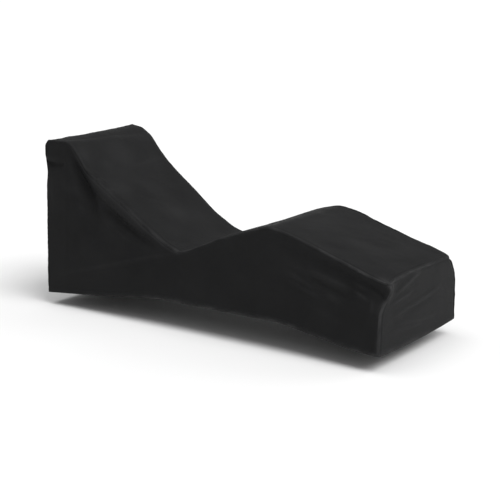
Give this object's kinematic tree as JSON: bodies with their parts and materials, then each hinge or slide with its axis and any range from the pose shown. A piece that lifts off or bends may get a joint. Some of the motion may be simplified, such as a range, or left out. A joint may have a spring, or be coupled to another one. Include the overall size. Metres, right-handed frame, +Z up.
{
  "type": "lounge chair cover",
  "caption": "Fitted weather cover of dark woven cloth, draped over a wave-shaped chaise longue, hollow and open below.",
  "frame": {"origin": "on the underside of the top, midway between the sides, where the chair's head rail carries the cover", "axes": "+X runs level from the head towards the foot end, +Y to the sitter's left, +Z up"},
  "size_m": [2.008, 0.733, 0.8015],
  "materials": {
    "top_panel_cloth": "matt woven polyester, charcoal black",
    "right_side_panel_cloth": "matt woven polyester, charcoal black",
    "left_side_panel_cloth": "matt woven polyester, charcoal black",
    "foot_end_panel_cloth": "matt woven polyester, charcoal black",
    "head_end_panel_cloth": "matt woven polyester, charcoal black"
  },
  "bodies": {
    "root": {"top_panel": "top_panel_cloth", "right_side_panel": "right_side_panel_cloth", "left_side_panel": "left_side_panel_cloth", "foot_end_panel": "foot_end_panel_cloth", "head_end_panel": "head_end_panel_cloth"}
  },
  "joints": []
}
